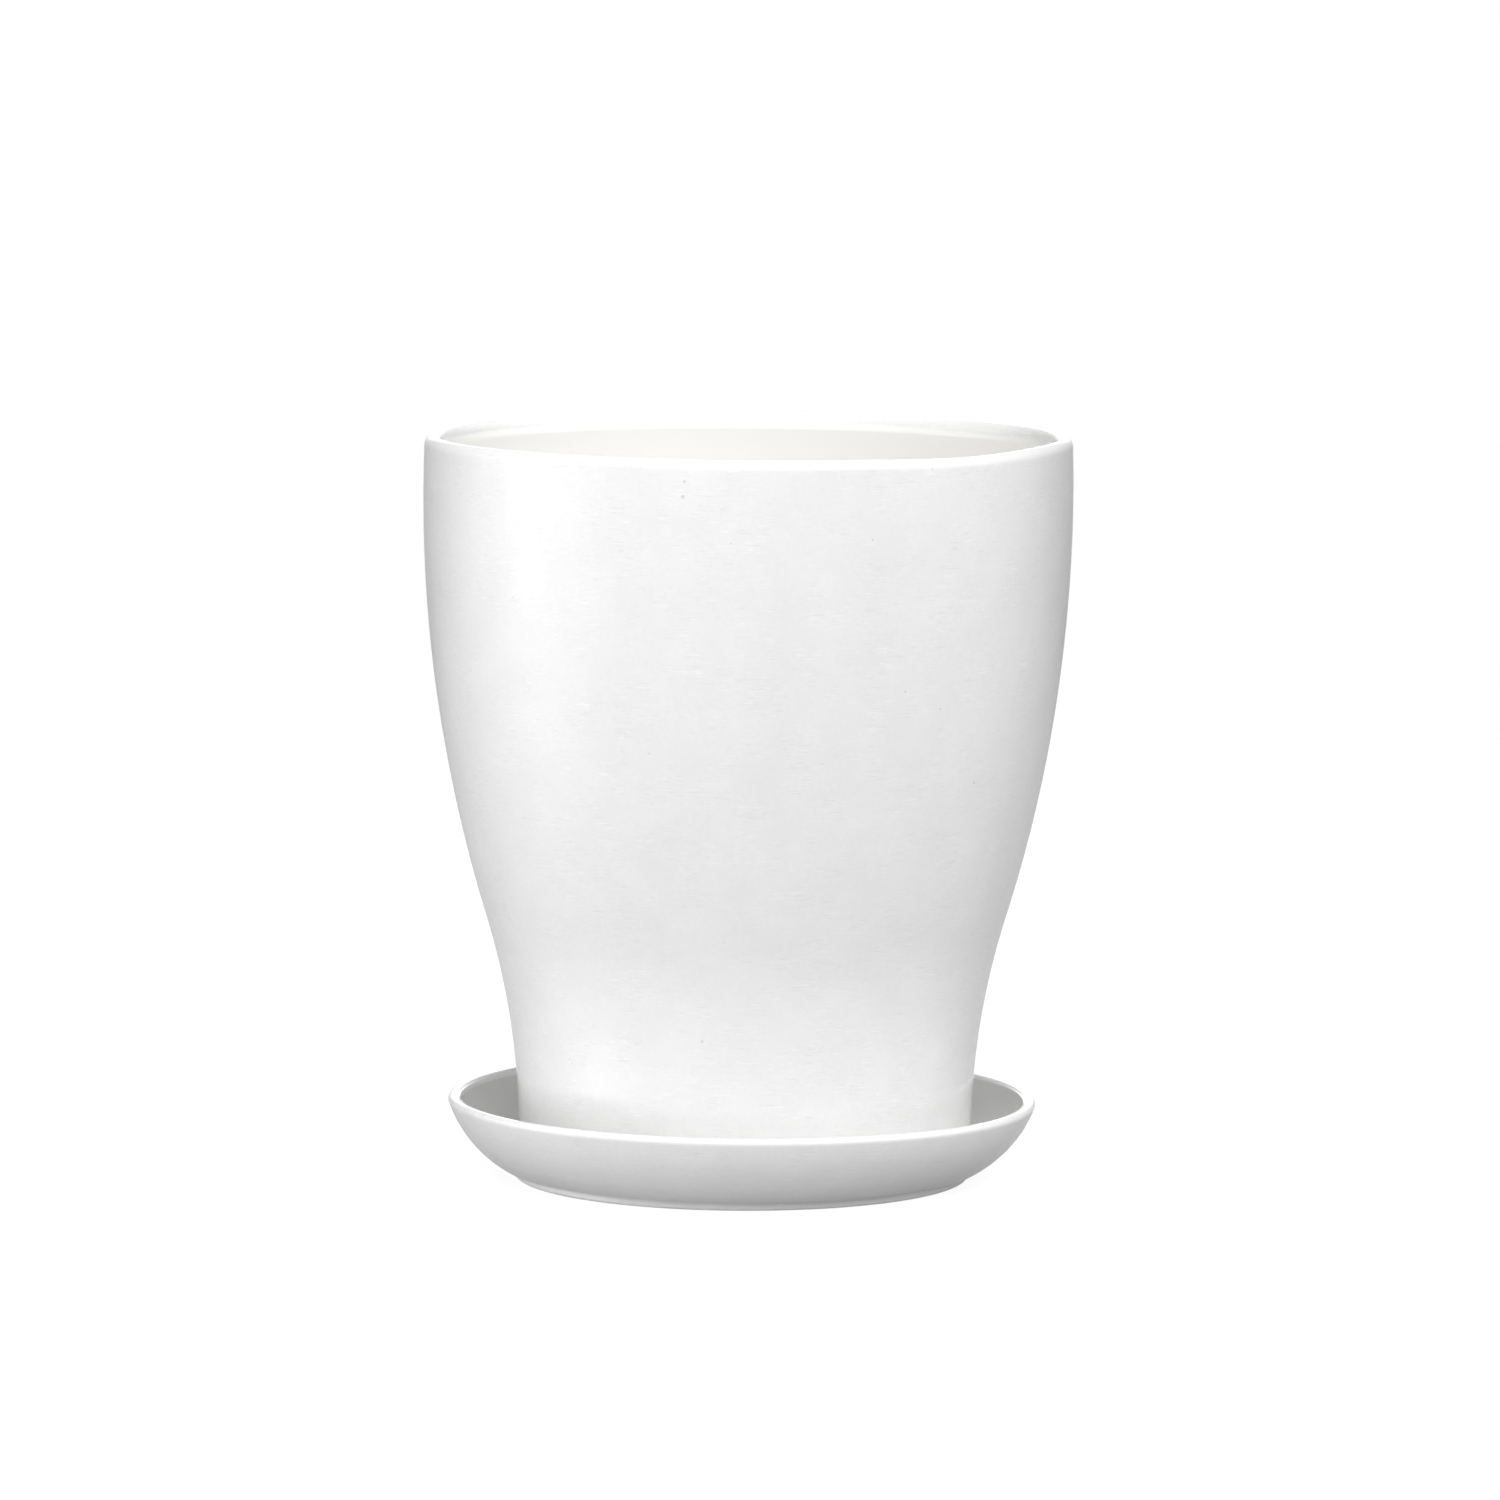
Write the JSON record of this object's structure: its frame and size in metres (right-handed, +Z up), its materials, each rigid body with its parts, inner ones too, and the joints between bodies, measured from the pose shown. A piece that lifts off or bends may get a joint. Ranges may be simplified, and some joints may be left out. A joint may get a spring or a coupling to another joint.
{
  "type": "plant pot with saucer",
  "caption": "Round white-glazed clay plant pot with a swelling belly and narrow waist, standing loose in a shallow bowl-shaped drip saucer.",
  "frame": {"origin": "on the common axis of pot and saucer, at the ground under the saucer's foot ring", "axes": "+Z up along the axis of both turned pieces; X and Y are interchangeable, and one drainage notch of the pot's foot lies at 60 degrees from +X"},
  "size_m": [0.21, 0.21, 0.2417],
  "materials": {
    "pot_glaze": "gloss",
    "saucer_glaze": "gloss"
  },
  "bodies": {
    "saucer": {"saucer": "saucer_glaze"},
    "pot": {"pot": "pot_glaze"}
  },
  "joints": [
    {"name": "pot_lift", "type": "slide", "parent": "saucer", "child": "pot", "axis": [0, 0, 1], "range_m": [0, 0.06]}
  ]
}
